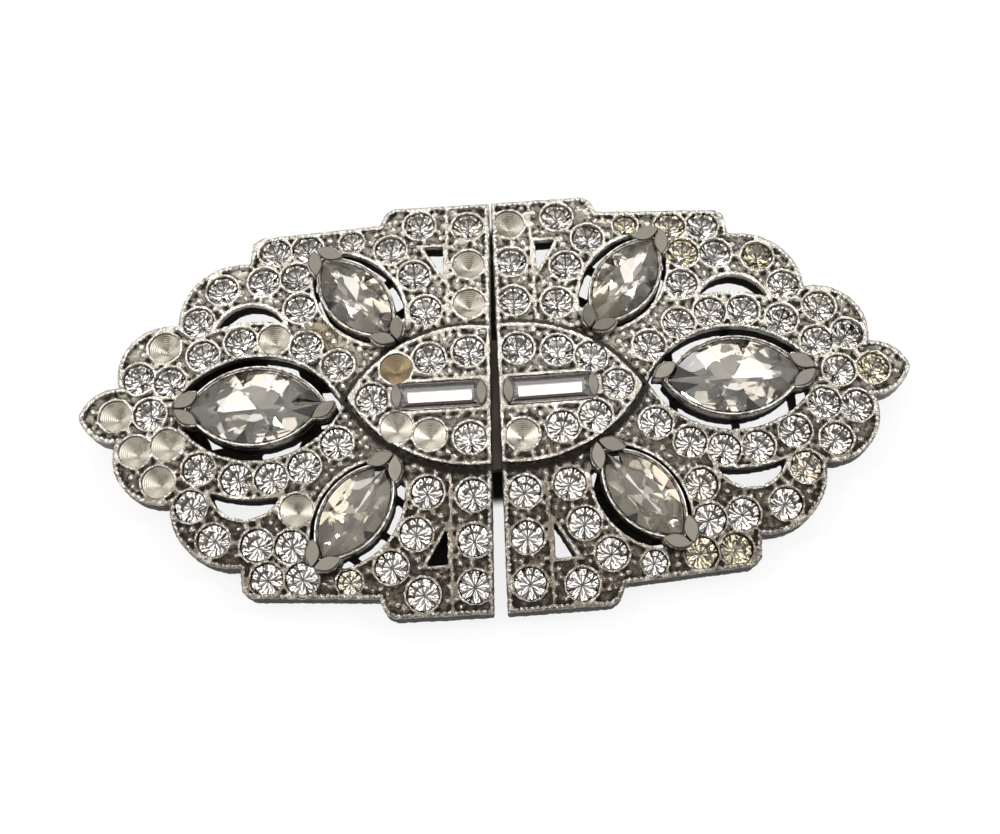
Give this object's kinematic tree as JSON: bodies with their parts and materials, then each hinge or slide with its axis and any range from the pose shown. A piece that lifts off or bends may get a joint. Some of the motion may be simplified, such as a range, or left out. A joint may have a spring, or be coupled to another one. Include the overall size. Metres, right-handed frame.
{
  "type": "double dress clip brooch: two dress clips joined on a pin frame",
  "caption": "Art Deco double dress clip brooch: two domed pierced metal clips set with clear round, marquise and baguette glass stones, side by side on a hidden pin frame.",
  "frame": {"origin": "middle of the joint between the two clips, on the plane that the brooch rests on", "axes": "+X from the left tip to the right tip, +Y along the joint towards the upper edge, +Z out of the jewelled face"},
  "size_m": [0.0786, 0.0409, 0.0061],
  "materials": {
    "cast_metal": "aged rhodium-coloured plate over cast white metal, dark in the hollows",
    "stones": "clear cut glass with a foiled back",
    "plated_back": "plain worn plate"
  },
  "bodies": {
    "root": {"clip_right": "cast_metal", "clip_left": "cast_metal", "rounds_right": "stones", "rounds_left": "stones", "marquise_tip_right": "stones", "marquise_top_right": "stones", "marquise_bottom_right": "stones", "marquise_tip_left": "stones", "marquise_top_left": "stones", "marquise_bottom_left": "stones", "baguette_right": "stones", "baguette_left": "stones", "lever_right": "plated_back", "lever_left": "plated_back", "pin_frame": "plated_back", "pin": "plated_back"}
  },
  "joints": []
}
